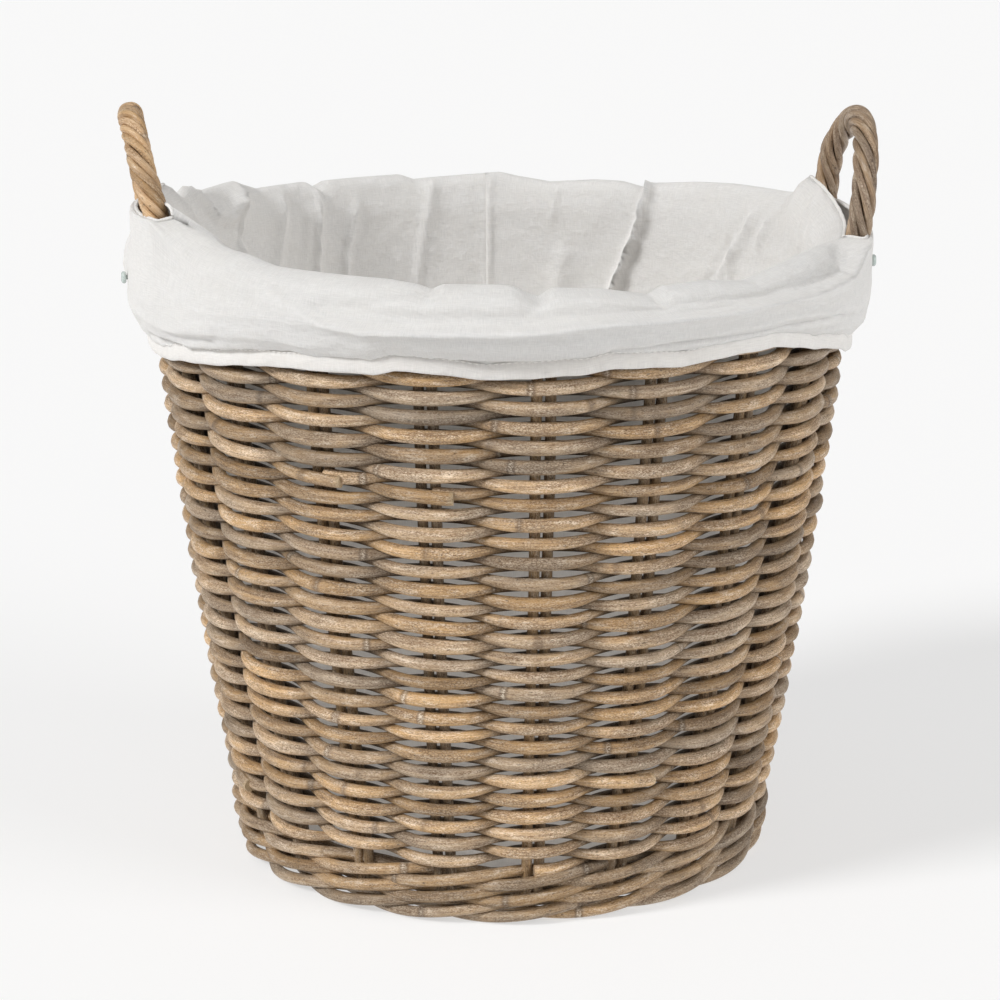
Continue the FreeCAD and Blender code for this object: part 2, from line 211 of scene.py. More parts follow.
def blend(tree, amount, first, second, kind="MIX"):
    """Mixes two colours; each may be a socket or a plain colour."""
    made = tree.nodes.new("ShaderNodeMix")
    made.data_type, made.blend_type = "RGBA", kind
    for at, source in ((0, amount), (6, first), (7, second)):
        if isinstance(source, bpy.types.NodeSocket):
            tree.links.new(source, made.inputs[at])
        else:
            made.inputs[at].default_value = source
    return made.outputs[2]


def noise(tree, where, stretch, detail=3.0, rough=0.55):
    """Noise on coordinates stretched by three scales, in features per metre."""
    scaled = put(tree, "VectorMath", {"operation": "MULTIPLY", 1: stretch}, i0=where)
    settings = {"Scale": 1.0, "Detail": detail, "Roughness": rough}
    return put(tree, "TexNoise", settings, Vector=scaled.outputs[0]).outputs[0]


def ramp(tree, source, low, high, to_low=0.0, to_high=1.0):
    """Spreads the part of source between low and high over another range."""
    limits = {"From Min": low, "From Max": high, "To Min": to_low, "To Max": to_high}
    return put(tree, "MapRange", limits, Value=source).outputs[0]


def times(tree, first, second):
    """Multiplies a socket by another socket or by a number."""
    made = put(tree, "Math", {"operation": "MULTIPLY"}, i0=first)
    if isinstance(second, bpy.types.NodeSocket):
        tree.links.new(second, made.inputs[1])
    else:
        made.inputs[1].default_value = second
    return made.outputs[0]


# %% Cane
fleck_brown, node_brown, crust_grey = (0.05, 0.03, 0.018, 1), (0.08, 0.05, 0.032, 1), (0.62, 0.54, 0.44, 1)
cut_face, pore_brown = (0.62, 0.50, 0.35, 1), (0.25, 0.17, 0.10, 1)


def cane(name, honey, grey, shade, gloss=0.42, pale=(0.66, 0.56, 0.45, 1), speckled=1.0):
    """Aged rattan: honey and grey are its two colours, shade is its dark streaks, pale its worn skin."""
    made = bpy.data.materials.new(name)
    made.use_nodes = True
    tree = made.node_tree
    shader = tree.nodes["Principled BSDF"]
    where = put(tree, "Attribute", {"attribute_name": "grain"}).outputs["Vector"]
    look = put(tree, "Attribute", {"attribute_name": "look"})
    parts = put(tree, "SeparateColor", Color=look.outputs["Color"])
    greyness, tone_and_painted_shade, knuckle = parts.outputs[0], parts.outputs[1], parts.outputs[2]
    fibre = noise(tree, where, (90, 1700, 1700), 4, 0.65)
    streak = noise(tree, where, (14, 420, 420), 3, 0.55)
    patch = noise(tree, where, (24, 100, 100), 3, 0.6)
    fleck = noise(tree, where, (330, 900, 900), 2, 0.6)
    bloom = noise(tree, where, (60, 240, 240), 5, 0.75)
    stretched = put(tree, "VectorMath", {"operation": "MULTIPLY", 1: (430, 620, 620)}, i0=where)
    edge_settings = {"feature": "DISTANCE_TO_EDGE", "Scale": 1.0}
    skin = put(tree, "TexVoronoi", edge_settings, Vector=stretched.outputs[0]).outputs["Distance"]
    scaly = times(tree, ramp(tree, skin, 0.0, 0.16, 1.0, 0.0), ramp(tree, patch, 0.44, 0.60))
    weathered = ramp(tree, patch, 0.35, 0.7, -0.35, 0.35)
    grey_here = put(tree, "Math", {"operation": "ADD", "use_clamp": True}, i0=greyness, i1=weathered)
    colour = blend(tree, grey_here.outputs[0], honey, grey)
    colour = blend(tree, ramp(tree, streak, 0.46, 0.72, 0.0, 0.6), colour, shade)
    colour = blend(tree, ramp(tree, fibre, 0.36, 0.62, 0.55, 0.0), colour, shade)
    colour = blend(tree, ramp(tree, fibre, 0.56, 0.72, 0.0, 0.45), colour, pale)
    colour = blend(tree, ramp(tree, bloom, 0.54, 0.66, 0.0, 0.6), colour, pale)
    colour = blend(tree, times(tree, scaly, 0.75), colour, shade)
    colour = blend(tree, ramp(tree, fleck, 0.63, 0.70, 0.0, 0.8), colour, fleck_brown)
    speck = noise(tree, where, (700, 1500, 1500), 3, 0.7)
    chalky = ramp(tree, bloom, 0.42, 0.62, 0.15 * speckled, 0.75 * speckled)
    rusty = ramp(tree, streak, 0.40, 0.62, 0.15 * speckled, 0.8 * speckled)
    colour = blend(tree, times(tree, ramp(tree, speck, 0.50, 0.58), chalky), colour, pale)
    colour = blend(tree, times(tree, ramp(tree, speck, 0.40, 0.47, 1.0, 0.0), rusty), colour, shade)
    worn = times(tree, ramp(tree, knuckle, 0.12, 0.5), ramp(tree, fibre, 0.3, 0.6, 0.25, 0.75))
    colour = blend(tree, worn, colour, node_brown)
    node_crust = times(tree, ramp(tree, knuckle, 0.45, 0.8), ramp(tree, speck, 0.46, 0.56))
    colour = blend(tree, node_crust, colour, crust_grey)
    pores = noise(tree, where, (900, 2600, 2600), 2, 0.5)
    fresh = blend(tree, ramp(tree, pores, 0.45, 0.6, 0.0, 0.8), cut_face, pore_brown)
    colour = blend(tree, look.outputs["Alpha"], colour, fresh)
    # The look's second channel sets brightness: random tone, and on the weavers painted shade at crossings
    # and behind the stakes.
    shown = ramp(tree, tone_and_painted_shade, 0, 1, 0.36, 1.42)
    bright = put(tree, "HueSaturation", {"Saturation": 1.15}, Color=colour, Value=shown)
    tree.links.new(bright.outputs[0], shader.inputs["Base Color"])
    tree.links.new(ramp(tree, patch, 0.3, 0.7, gloss - 0.08, gloss + 0.22), shader.inputs["Roughness"])
    shader.inputs["Specular IOR Level"].default_value = 0.5
    height = put(tree, "Math", {"operation": "ADD"}, i0=times(tree, fibre, 0.8), i1=times(tree, scaly, -0.7))
    rough = put(tree, "Math", {"operation": "ADD"}, i0=height.outputs[0], i1=times(tree, knuckle, 0.8))
    bump = put(tree, "Bump", {"Strength": 0.7, "Distance": 0.0007}, Height=rough.outputs[0])
    tree.links.new(bump.outputs[0], shader.inputs["Normal"])
    return made


weaving_cane = cane("weaving_cane", (0.52, 0.345, 0.185, 1), (0.46, 0.385, 0.30, 1), (0.15, 0.09, 0.05, 1))
stake_cane = cane("stake_cane", (0.56, 0.40, 0.24, 1), (0.48, 0.39, 0.29, 1), (0.16, 0.10, 0.06, 1), 0.5)
base_cane = cane("base_cane", (0.36, 0.24, 0.14, 1), (0.30, 0.25, 0.20, 1), (0.13, 0.085, 0.05, 1), 0.5)
# The handle core is coloured near-black: painted shade that shows in the gaps between the rope's strands.
core_cane = cane(
    "core_cane", (0.12, 0.07, 0.04, 1), (0.10, 0.065, 0.04, 1), (0.05, 0.03, 0.02, 1), 0.6,
    pale=(0.16, 0.11, 0.07, 1),
)
honey_rope = cane(
    "handle_cane", (0.72, 0.50, 0.30, 1), (0.62, 0.47, 0.33, 1), (0.32, 0.19, 0.10, 1), 0.36,
    pale=(0.80, 0.66, 0.48, 1), speckled=0.3,
)
grey_rope = cane(
    "handle_cane_grey", (0.47, 0.34, 0.225, 1), (0.41, 0.335, 0.26, 1), (0.16, 0.10, 0.065, 1), 0.36,
    speckled=0.35,
)
print("six cane finishes")

# %% [markdown]
# ## The wall's lines
# The wall is a ring of nineteen paired stakes. Its outside follows the rings of the CAD model, and
# the middle of the wall, where the stakes stand, is half a wall further in. Everything woven is
# placed from that middle line.

# %% Wall sizes from the frame
stake_count, stake_radius, stake_side = 19, 3.75, 4.5
wall_half = 12.75
courses = [f"randing_course_{n}" for n in range(1, 7)]
tops = [1000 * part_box(node)[1] for node in courses]
heights = [t.z for t in tops]
radii = [t.y for t in tops]
randing_low = 1000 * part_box(courses[0])[0].z
randing_high = heights[-1]
inside_low = 1000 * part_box("liner_side")[0].z
belly = np.polyfit(heights, radii, 2)


def outside(z):
    """The wall's outer radius at a height."""
    return np.polyval(belly, z)


def middle(z):
    """The radius of the line on which the stakes stand."""
    return outside(z) - wall_half


def around(angle, radius, z):
    """Points on circles round the basket; angle 0 is the front and grows towards +X."""
    angle, radius, z = np.broadcast_arrays(np.asarray(angle, float), radius, z)
    return np.stack([radius * np.sin(angle), -radius * np.cos(angle), z], axis=-1)


print("randing from", round(randing_low), "to", round(randing_high), "mm")
print("outer radius low, halfway and at the rim:", [round(float(outside(z))) for z in (0, 223, 446)])

# %% [markdown]
# ## Stakes
# Nineteen pairs of thick, dark rods are the frame that everything is woven on. Most of each is
# hidden by the weaving, and its short stretches show between the weavers. Each pair is one piece,
# bent to the wall's curve.

# %% Make the stakes
rng = np.random.default_rng(11)


def slow(x, sizes, rng):
    """A smooth wander: the sum of a few slow waves along x, which counts stake spaces."""
    total = np.zeros_like(np.asarray(x, float))
    for size, pace in sizes:
        total += size * np.sin(pace * x * (0.8 + 0.4 * rng.random()) + 2 * np.pi * rng.random())
    return total


stake_low, stake_high = (1000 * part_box("stake_01")[k].z for k in (0, 1))
for k in range(stake_count):
    pair = []
    for side in (-1, 1):
        z = np.linspace(stake_low, stake_high, 90)
        at = middle(z) + slow(z, [(0.25, 0.05)], rng)
        angle = 2 * np.pi * k / stake_count + (side * stake_side + slow(z, [(0.3, 0.03)], rng)) / at
        look = [rng.uniform(0, 0.9), rng.uniform(0.25, 0.75), 0, 0]
        thick = stake_radius * (0.98 + 0.03 * slow(z, [(0.6, 0.08)], rng))
        outward = around(angle, 1, 0)
        pair.append(rod(around(angle, at, z), thick, thick, outward, look, 12, rng.uniform(0, 5000)))
    piece(f"stakes_{k + 1:02d}", pair, stake_cane, "basket", [f"stake_{k + 1:02d}"])

# %% [markdown]
# ## Randing
# The wall is plain weaving: a single weaver goes in front of one stake pair and behind the next.
# As the number of stakes is odd, it passes each pair on the other side in the next round, so one
# long spiral makes the whole wall. It is cut into rods of one to two and a half metres, as a maker
# joins them. Most joins hide behind a stake, and some rods end in front, with a pale cut face.

# %% The weaver's path
row_pitch = 6.8
weaver = 4.7
swing = 8.1
rounds = round((randing_high - randing_low) / row_pitch)
row_pitch = (randing_high - randing_low) / rounds
turns = rounds * stake_count


def flat_top(c):
    """A wave that dwells at its crests, as a stiff rod does round a stake."""
    return np.tanh(0.9 * c) / np.tanh(0.9)


def sway(angle, z):
    """The gentle rise and fall that neighbouring rounds share."""
    share = np.clip((z - randing_low) / (randing_high - randing_low), 0, 1)
    calm = np.sin(np.pi * share) ** 0.5
    wave = 1.3 * np.sin(2 * angle + 0.012 * z + 0.6) + 1.0 * np.sin(3 * angle - 0.019 * z + 2.1)
    wave += 0.7 * np.sin(5 * angle + 0.033 * z + 4.0) + 0.35 * np.sin(9 * angle - 0.06 * z)
    return calm * wave


def weaver_line(x):
    """Angle, radius and height of the weaver; x counts stake spaces from the first stake."""
    angle = 2 * np.pi * x / stake_count
    level = randing_low + row_pitch * 0.5 + (randing_high - randing_low - row_pitch) * x / turns
    level = level + sway(angle, level)
    wave = flat_top(np.cos(np.pi * x))
    return angle, middle(level) + swing * wave, level - 1.5 * wave


def knuckles(distance, rng, gap=(200, 420)):
    """Where the rod's nodes sit: 1 on each ring, 0 between."""
    marks = np.zeros_like(distance)
    at = rng.uniform(20, gap[1])
    while at < distance[-1]:
        bump = np.exp(-(((distance - at) / rng.uniform(1.2, 2.0)) ** 2) * rng.uniform(0.5, 1.0))
        marks = np.maximum(marks, bump)
        at += rng.uniform(*gap)
    return marks


print(rounds, "rounds,", round(row_pitch, 2), "mm apart")

# %% Weave the wall
rng = np.random.default_rng(23)
joins = [0.0]
while joins[-1] < turns:
    step = rng.integers(15, 40)
    joins.append(min(joins[-1] + step, turns))
if turns - joins[-2] < 6:
    joins.pop(-2)
by_course = [[] for _ in courses]
steps = 20
for first, last in zip(joins[:-1], joins[1:]):
    in_front_a, in_front_b = first % 2 == 0, last % 2 == 0
    low = first + (0.06 if in_front_a and first > 0 else 0)
    high = last + (0.24 if in_front_b and last < turns else 0)
    x = np.linspace(low, high, int((high - low) * steps) + 1)
    angle, radius, level = weaver_line(x)
    thick = weaver * rng.choice([0.90, 0.97, 1.0, 1.04, 1.09])
    thick = thick * (1 + 0.035 * slow(x, [(0.6, 2.2), (0.4, 0.9)], rng))
    level = level + slow(x, [(0.28, 1.9), (0.22, 0.8)], rng)
    radius = radius + slow(x, [(0.35, 1.3)], rng)
    cut = np.zeros_like(x)
    if in_front_b and last < turns:
        tip = np.clip((x - (last - 0.25)) / 0.45, 0, 1) ** 2
        radius, level = radius + 2.6 * tip, level - 1.2 * tip
        cut[-1] = 1
    if in_front_a and first > 0:
        root = np.clip((first + 0.6 - x) / 0.55, 0, 1) ** 2
        radius, level = radius - 3.0 * root, level + 1.4 * root
    crossing = 1 - np.abs(flat_top(np.cos(np.pi * x)))
    tall = thick * (1 - 0.27 * crossing)
    line = around(angle, radius, level)
    along = length_along(line)
    ring = knuckles(along, rng)
    grey = np.clip(rng.choice([0.05, 0.25, 0.5, 0.75, 0.95]) + slow(x, [(0.22, 0.5)], rng), 0, 1)
    tone_and_painted_shade = np.clip(rng.uniform(0.35, 0.95) + slow(x, [(0.12, 0.7)], rng), 0, 1)
    # Painted shade: the weaver is drawn darker at each crossing and darkest where it passes behind a stake.
    tone_and_painted_shade = tone_and_painted_shade * (1 - 0.9 * np.clip(0.5 - np.cos(np.pi * x), 0, 1))
    look = np.stack([grey, tone_and_painted_shade, ring, cut], axis=1)
    swollen = 1 + 0.05 * ring
    made = rod(line, thick * swollen, tall * swollen, (0, 0, 1), look, 12, rng.uniform(0, 9000))
    nearest = int(np.clip((line[:, 2].mean() - randing_low) / (randing_high - randing_low) * 6, 0, 5))
    by_course[nearest].append(made)
for node, rods in zip(courses, by_course):
    piece("weave_" + node[-1], rods, weaving_cane, "basket", [node])

# %% [markdown]
# ## Foot and rim
# A round of three rods, each passing in front of two stakes and behind one, makes a thick rope-like
# band called a wale. Two of them make the foot, one ties the stakes under the rim, and a wider one
# is the rolled border. The three rods of a wale are one closed line three rounds long, so it is
# made as one path and then cut into rods.

# %% Wales


def wale(level, radius, wide_swing, tall_swing, thick, seed, pieces_of=7):
    """Rods of one wale at a height: radius is its middle line."""
    rng = np.random.default_rng(seed)
    whole = 3 * stake_count
    cuts = np.linspace(0, whole, pieces_of + 1)
    cuts = cuts + np.concatenate([[0], rng.uniform(-1.5, 1.5, pieces_of - 1), [0]])
    rods = []
    for first, last in zip(cuts[:-1], cuts[1:]):
        x = np.linspace(first - 0.12, last + 0.12, int((last - first) * 16))
        turn = 2 * np.pi * (x - 1) / 3
        angle = 2 * np.pi * x / stake_count
        z = level + tall_swing * np.sin(turn)
        at = radius + wide_swing * np.cos(turn)
        line = around(angle, at, z)
        along = length_along(line)
        ring = knuckles(along, rng)
        size = thick * rng.uniform(0.94, 1.03) * (1 + 0.03 * slow(x, [(0.6, 1.7)], rng))
        look = np.stack([
            np.clip(rng.uniform(0, 1) + slow(x, [(0.2, 0.5)], rng), 0, 1),
            np.clip(rng.uniform(0.3, 0.75) + slow(x, [(0.1, 0.8)], rng), 0, 1), ring, 0 * x], axis=1)
        rods.append(rod(line, size, size, (0, 0, 1), look, 12, rng.uniform(0, 9000)))
    return rods


foot = wale(8.4, middle(8.4) + 2.4, 9.6, 4.3, 3.95, 31)
piece("foot_border", foot, weaving_cane, "basket", ["foot_border"])
foot_round = wale(20.6, middle(20.6) + 2.8, 9.6, 4.3, 4.1, 37)
foot_round += wale(32.8, middle(32.8) + 2.2, 9.4, 4.3, 4.1, 39)
piece("foot_wale", foot_round, weaving_cane, "basket", ["foot_wale"])
tie = wale(420.8, middle(420.8) + 2.4, 9.4, 4.6, 3.9, 41)
piece("top_wale", tie, weaving_cane, "basket", ["top_wale"])
rim = wale(436, 237.6, 9.6, 3.2, 4.0, 43) + wale(436.4, 237.6, -3.6, 3.2, 3.4, 47)
piece("rim_border", rim, weaving_cane, "basket", ["rim_border"])

# %% [markdown]
# ## Base
# Five rods cross five, are tied round the cross, and then fan out into twenty spokes. Two weavers
# twine round them together, one over a spoke while the other goes under. It shows only from below
# and inside, so its rods carry fewer sides.

# %% Base sticks, binding and twining
base_low, base_high = (1000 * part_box("base_weave")[k].z for k in (0, 1))
base_mid = (base_low + base_high) / 2
base_reach = 1000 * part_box("base_weave")[1].y - 3
rng = np.random.default_rng(53)
groups = {"base_sticks_lower": (0, -4.0), "base_sticks_upper": (90, 4.0)}
for node, (heading, drop) in groups.items():
    sticks = []
    for n in range(-2, 3):
        out = np.linspace(0, base_reach, 60)
        fan = np.clip((out - 45) / 60, 0, 1)
        fan = fan * fan * (3 - 2 * fan)
        straight = np.arctan2(10.0 * n, np.maximum(out, 1e-3))
        spread = np.where(out < 12, straight, straight * (1 - fan) + math.radians(18 * n) * fan)
        radius = np.hypot(out, 10.0 * n * (1 - fan))
        z = base_mid + drop * (1 - fan)
        arm = np.stack([radius * np.cos(spread), radius * np.sin(spread), z], axis=1)
        back = np.stack([-radius * np.cos(spread), radius * np.sin(spread), z], axis=1)
        line = np.concatenate([back[:0:-1], arm])
        c, s = math.cos(math.radians(heading)), math.sin(math.radians(heading))
        ahead, across = c * line[:, 0] - s * line[:, 1], s * line[:, 0] + c * line[:, 1]
        line = np.stack([ahead, across, line[:, 2]], axis=1)
        look = [rng.uniform(0, 1), rng.uniform(0.3, 0.7), 0, 0]
        sticks.append(rod(line, 3.9, 3.9, (0, 0, 1), look, 10, rng.uniform(0, 5000)))
    piece(node, sticks, base_cane, "basket", [node])


def twine(radius_from, radius_to, spokes, reach, thick, seed):
    """Two weavers that spiral outward together, over and under the spokes."""
    rng = np.random.default_rng(seed)
    rounds_out = (radius_to - radius_from) / (4 * thick)
    made = []
    for phase in (0, 1):
        x = np.linspace(0, rounds_out * spokes, int(rounds_out * spokes * 10))
        angle = 2 * np.pi * x / spokes
        at = radius_from + (radius_to - radius_from) * x / x[-1] + 2 * thick * phase * 0.5
        z = base_mid + reach * np.cos(np.pi * (x + phase))
        look = np.stack([np.clip(0.5 + slow(x, [(0.4, 0.15)], rng), 0, 1),
                         np.clip(0.5 + slow(x, [(0.2, 0.2)], rng), 0, 1), 0 * x, 0 * x], axis=1)
        made.append(rod(around(angle, at, z), thick, thick, (0, 0, 1), look, 8, rng.uniform(0, 5000)))
    return made


piece("base_binding", twine(38, 58, 4, 9.3, 2.7, 59), base_cane, "basket", ["base_binding"])
piece("base_weave", twine(64, base_reach, 20, 6.6, 3.1, 61), base_cane, "basket", ["base_weave"])

# %% [markdown]
# ## Handles
# Each handle is a bent core rod wrapped by six rods, laid round it like a rope. Its two ends are
# pushed down into the rim, and it is bent by hand, so its near leg stands a little further out. The
# left rope is honey coloured, and the right one has aged to grey.

# %% Rope handles
rim_level = 446.0
lean, splay = math.radians(10), math.radians(4)
bow, bow_up, leg_out = 59.1, 27.9, 57.3
bow_top = 87
foot_radius = 238.0
rope_low, core_low = -13.6, -58.0


def handle_line(turn, low, rise, near_out, far_in, spacing=2.5):
    """The handle's centre line and its sideways direction, bent a little by hand: rise lifts the bow,
    near_out holds (height, mm outward) pairs for the near leg; the far leg leans in by far_in."""
    foot_up = bow_up - bow * math.sin(splay)
    legs = np.arange(low, foot_up, spacing)
    left = np.stack([-(leg_out + legs * math.tan(splay)), legs], axis=1)
    sweep = np.linspace(np.pi + splay, -splay, int(bow * (np.pi + 2 * splay) / spacing))
    arc = np.stack([bow * np.cos(sweep), bow_up + bow * np.sin(sweep)], axis=1)
    flat = np.concatenate([left, arc, np.stack([-left[::-1, 0], left[::-1, 1]], axis=1)])
    grown = np.clip(flat[:, 1:] / bow_top, 0, 1)
    out = np.array([math.sin(turn), -math.cos(turn), 0])
    along_rim = np.array([math.cos(turn), math.sin(turn), 0])
    up_lean = np.array([0, 0, math.cos(lean)]) + math.sin(lean) * out
    line = foot_radius * out + np.array([0, 0, rim_level]) + flat[:, :1] * along_rim
    line = line + (flat[:, 1:] + rise * grown) * up_lean
    near = np.interp(flat[:, 1], *np.transpose(near_out))
    far = -far_in * np.interp(flat[:, 1], [0, 20, 55, bow_top], [0, 0.6, 1.0, 0.3])
    front_side = np.clip(-flat[:, 0] * math.copysign(1, turn) / 50 * 0.5 + 0.5, 0, 1)
    bend = far + (near - far) * front_side
    return line + bend[:, None] * out, np.cross(along_rim, up_lean)


def rope(side, seed, finish, lay, rise, near_out, far_in):
    """Six rods laid round a core; lay is how far one rod travels in a full turn."""
    turn = handle_turn if side == "right" else -handle_turn
    line, facing = handle_line(turn, rope_low, rise, near_out, far_in)
    ahead = unit(np.gradient(line, axis=0))
    inward = unit(np.cross(ahead, np.broadcast_to(facing, ahead.shape)))
    along = length_along(line)
    rng = np.random.default_rng(seed)
    strands = []
    for k in range(6):
        twist = 2 * np.pi * along / lay + 2 * np.pi * k / 6 + slow(along, [(0.09, 0.03)], rng)
        off = 6.0 + slow(along, [(0.25, 0.05)], rng)
        path = line + off[:, None] * (np.cos(twist)[:, None] * inward + np.sin(twist)[:, None] * facing)
        thick = 2.9 * (1 + 0.05 * slow(along, [(0.7, 0.06)], rng))
        ring = knuckles(along, rng, (90, 200))
        look = np.stack([np.clip(rng.uniform(0, 1) + 0 * along, 0, 1),
                         np.clip(rng.uniform(0.35, 0.7) + slow(along, [(0.08, 0.03)], rng), 0, 1),
                         0.7 * ring, 0 * along], axis=1)
        strands.append(rod(path, 0.95 * thick, thick, path - line, look, 14, rng.uniform(0, 9000)))
    piece(f"{side}_rope", strands, finish, "basket", [f"{side}_handle_rope"])
    heart, facing = handle_line(turn, core_low, rise, near_out, far_in)
    core = rod(heart, 2.9, 2.9, facing, (0.4, 0.5, 0, 0), 12)
    piece(f"{side}_core", [core], core_cane, "basket", [f"{side}_handle_core"])


handle_turn = 2 * np.pi * 4.5 / stake_count
rope("right", 71, grey_rope, 92, -6.5, [(-60, 0), (-12, 5.5), (15, 5.5), (55, 2.5), (87, 1.5)], 5.0)
rope("left", 73, honey_rope, 62, 4.0, [(-60, 0), (-12, 2.0), (15, 3.0), (55, 6.0), (87, 7.5)], 0.5)

# %% [markdown]
# ## The liner
# The liner is a cotton bag: a round bottom, a side that stands against the wickerwork, a fold over
# the rim and a loose cuff that ends in a gathered casing. The side, fold and cuff are one cloth. It
# could be dropped on the basket by a cloth simulation, but the folds here follow known places, so
# the cloth is a grid bent along one profile, and each crease is drawn on it as a line that pushes
# the cloth in or out. The grid is left open where a handle comes up through its slit, and its two
# ends overlap at the back, where the real bag has a seam from rim to bottom.

# %% The profile, from the bottom seam over the rim to the casing


def ring_value(table, angle):
    """A value that changes round the basket; table lists (degrees from the camera's side, value)."""
    degrees, values = np.array(table, float).T
    return np.interp(np.degrees(angle) + eye_degrees, degrees, values, period=360)


crest_heights = [
    (-80, 464), (-71, 462), (-60, 461.5), (-55, 462.5), (-51, 459.5), (-45, 460), (-38.7, 456),
    (-28, 456.2), (-17.6, 455.6), (-12.7, 453), (-10.8, 450.3), (-8.9, 453.9), (0, 454), (1.9, 453.4),
    (5.9, 446), (8.2, 451.7), (16.5, 449.5), (24.1, 443.5), (26.3, 448.4), (34.5, 449), (42.9, 444.7),
    (45.4, 446), (52, 449.6), (58.6, 452.3),
    (68, 453), (90, 453), (107, 457), (112, 458), (132.5, 455), (141, 452.4), (149.6, 448), (152.2, 444),
    (156.8, 447.7), (162, 447.5), (170.6, 444.5), (176.7, 448.5), (180, 451.6), (192, 448.2), (196.4, 447.3),
    (199.2, 451.7), (214.4, 451.5), (217, 446.9), (219.1, 452.4), (230.8, 452.7), (234, 457), (237.4, 461.5),
    (250, 461), (262, 464),
]
hem_heights = [
    (-90, 370), (-70, 375), (-55, 382), (-46, 388), (-38, 393), (-33, 395), (-29, 393.5), (-19, 395.4),
    (-16, 399), (-8, 398), (0, 395.2), (4.5, 395), (12, 397), (16, 399.5), (28, 398.4), (38, 399.5),
    (46, 400), (61, 389), (75, 374), (90, 363), (110, 367), (140, 377), (180, 383), (220, 378), (250, 372),
]
casing = 12.0
columns = 560
seam_turn = math.radians(182.2 - eye_degrees)
turn = seam_turn + np.linspace(0, 2 * np.pi, columns, endpoint=False)
hem_low = ring_value(hem_heights, turn)
hem_out = outside(hem_low + casing / 2) + 3.2

bag_gap = 3.6
wall_heights = np.concatenate([np.linspace(inside_low + 0.5, 350, 14), np.linspace(356, 430, 14)])
bag_points = [(outside(z) - 2 * wall_half - bag_gap, z) for z in wall_heights]
fold_points = [
    (222.5, 438), (225.0, 445), (229.5, 450.2), (235, 451.6), (241.5, 450), (248.5, 446), (255, 440),
]
cuff_points = [
    (260, 432.5), (263.5, 423.5), (265.3, 413.5), (265, 403), (262, 393.5), (256.8, 385), (251.8, 380.5),
    (249, 377),
]
rough = np.array(bag_points + fold_points + cuff_points)
length = np.concatenate([[0], np.cumsum(np.hypot(*np.diff(rough, axis=0).T))])
fine = np.arange(0, length[-1], 1.0)
profile = np.stack([np.interp(fine, length, rough[:, k]) for k in (0, 1)], axis=1)
kernel = np.hanning(11) / np.hanning(11).sum()
padded = np.concatenate([np.repeat(profile[:1], 5, 0), profile, np.repeat(profile[-1:], 5, 0)])
profile = np.stack([np.convolve(padded[:, k], kernel, "valid") for k in (0, 1)], axis=1)
crest_at = fine[np.argmax(profile[:, 1])]
rows_at = np.concatenate([
    np.linspace(0, 300, 13)[:-1], np.linspace(300, crest_at - 25, 22)[:-1],
    np.linspace(crest_at - 25, crest_at + 25, 17)[:-1], np.linspace(crest_at + 25, fine[-1], 28),
])
print("cloth from seam to casing:", round(fine[-1]), "mm, fold at", round(crest_at), "mm")

# %% Bend the grid round the basket
base_radius = np.interp(rows_at, fine, profile[:, 0])[None, :] + 0 * turn[:, None]
base_height = np.interp(rows_at, fine, profile[:, 1])[None, :] + 0 * turn[:, None]
crest_height = profile[:, 1].max()
cuff_share = np.clip((rows_at - crest_at) / (fine[-1] - crest_at), 0, 1)[None, :]
drop = (crest_height - (hem_low + casing - 3)) / (crest_height - profile[-1, 1])
lowered = crest_height - (crest_height - base_height) * drop[:, None]
base_height = np.where(rows_at > crest_at, lowered, base_height)
base_radius = base_radius + (cuff_share ** 3) * (hem_out - profile[-1, 0])[:, None]
slope = np.gradient(profile, axis=0)
out_radius = np.interp(rows_at, fine, -slope[:, 1])[None, :]
out_height = np.interp(rows_at, fine, slope[:, 0])[None, :]
flat_radius = 240
flat_around = turn[:, None] * flat_radius + 0 * rows_at[None, :]
whole_round = 2 * np.pi * flat_radius


def cloth_place(degrees, height, outer):
    """Where on the flat cloth a point of the basket lies: (mm round, mm up the cloth)."""
    angle = math.radians(degrees - eye_degrees)
    if not outer:
        side = fine < crest_at
        return angle * flat_radius, np.interp(height, profile[side, 1], fine[side])
    k = int(round(((angle - seam_turn) % (2 * np.pi)) / (2 * np.pi) * columns)) % columns
    level = crest_height - (crest_height - height) / drop[k]
    side = fine >= crest_at
    return angle * flat_radius, np.interp(-level, -profile[side, 1], fine[side])


push = np.zeros_like(base_radius)


def crease(points, height, width, outer=True, sharp=True):
    """Pushes the cloth by height, mm, along a line of (degrees, height) points."""
    near = np.full(push.shape, 1e9)
    spots = [cloth_place(d, z, outer) for d, z in points]
    for (a, b), (c, d) in zip(spots[:-1], spots[1:]):
        across = (flat_around - a + whole_round / 2) % whole_round - whole_round / 2
        down = rows_at[None, :] - b
        run, rise = c - a, d - b
        along = np.clip((across * run + down * rise) / max(run * run + rise * rise, 1e-6), 0, 1)
        near = np.minimum(near, np.hypot(across - along * run, down - along * rise))
    shape = np.exp(-near / width) if sharp else np.exp(-((near / width) ** 2))
    side = rows_at[None, :] > crest_at - 12 if outer else rows_at[None, :] < crest_at + 14
    return height * shape * side


